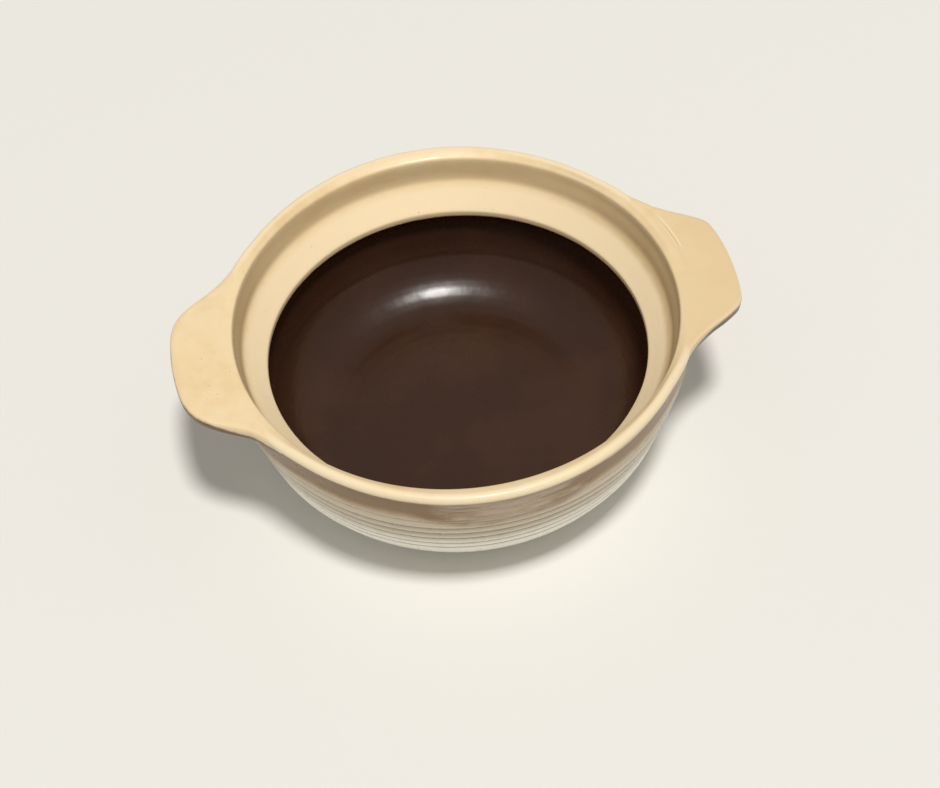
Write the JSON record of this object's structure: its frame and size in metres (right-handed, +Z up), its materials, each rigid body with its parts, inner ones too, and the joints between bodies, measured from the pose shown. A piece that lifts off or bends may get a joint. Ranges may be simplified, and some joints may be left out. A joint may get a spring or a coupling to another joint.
{
  "type": "chinese sand pot",
  "caption": "Wide, low stoneware casserole with a ribbed, tapering wall, a stepped lid gallery inside the rim and flat lug handles just below the rim.",
  "frame": {"origin": "middle of the foot ring's underside, on the surface that the pot stands on", "axes": "+X through the middle of the right lug handle, +Y across the pot, +Z up along the axis that the bowl is turned on"},
  "size_m": [0.2394, 0.1984, 0.076],
  "materials": {
    "bowl_glaze": "gloss cream glaze",
    "lug_glaze": "gloss cream glaze"
  },
  "bodies": {
    "root": {"pot_body": "bowl_glaze", "left_handle": "lug_glaze", "right_handle": "lug_glaze"}
  },
  "joints": []
}
